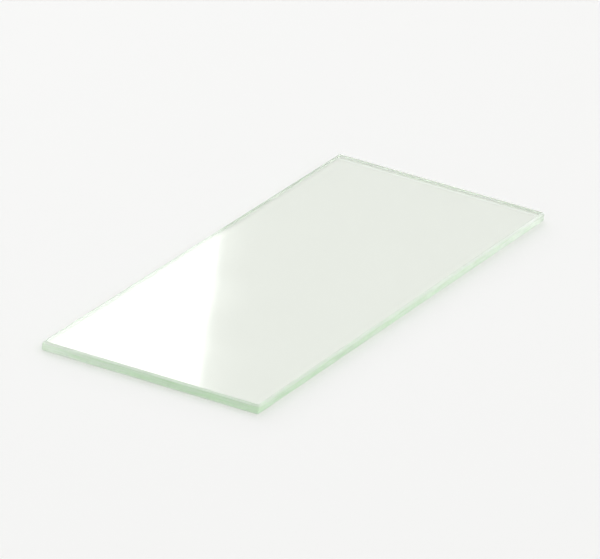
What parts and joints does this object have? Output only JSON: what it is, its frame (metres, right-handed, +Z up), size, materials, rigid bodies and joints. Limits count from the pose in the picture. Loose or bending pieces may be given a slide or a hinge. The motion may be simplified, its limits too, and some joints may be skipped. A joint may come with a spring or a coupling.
{
  "type": "microscope slide",
  "caption": "Plain clear glass plate that carries a specimen under a microscope, with polished broad faces and ground, arrised edges.",
  "frame": {"origin": "middle of the underside, in the plane that the slide rests on", "axes": "+X along the length, +Y across the width, +Z up through the thickness"},
  "size_m": [0.0762, 0.0254, 0.0011],
  "materials": {
    "glass": "clear, polished broad faces; matt ground edges that read pale green"
  },
  "bodies": {
    "root": {"glass_slide": "glass"}
  },
  "joints": []
}
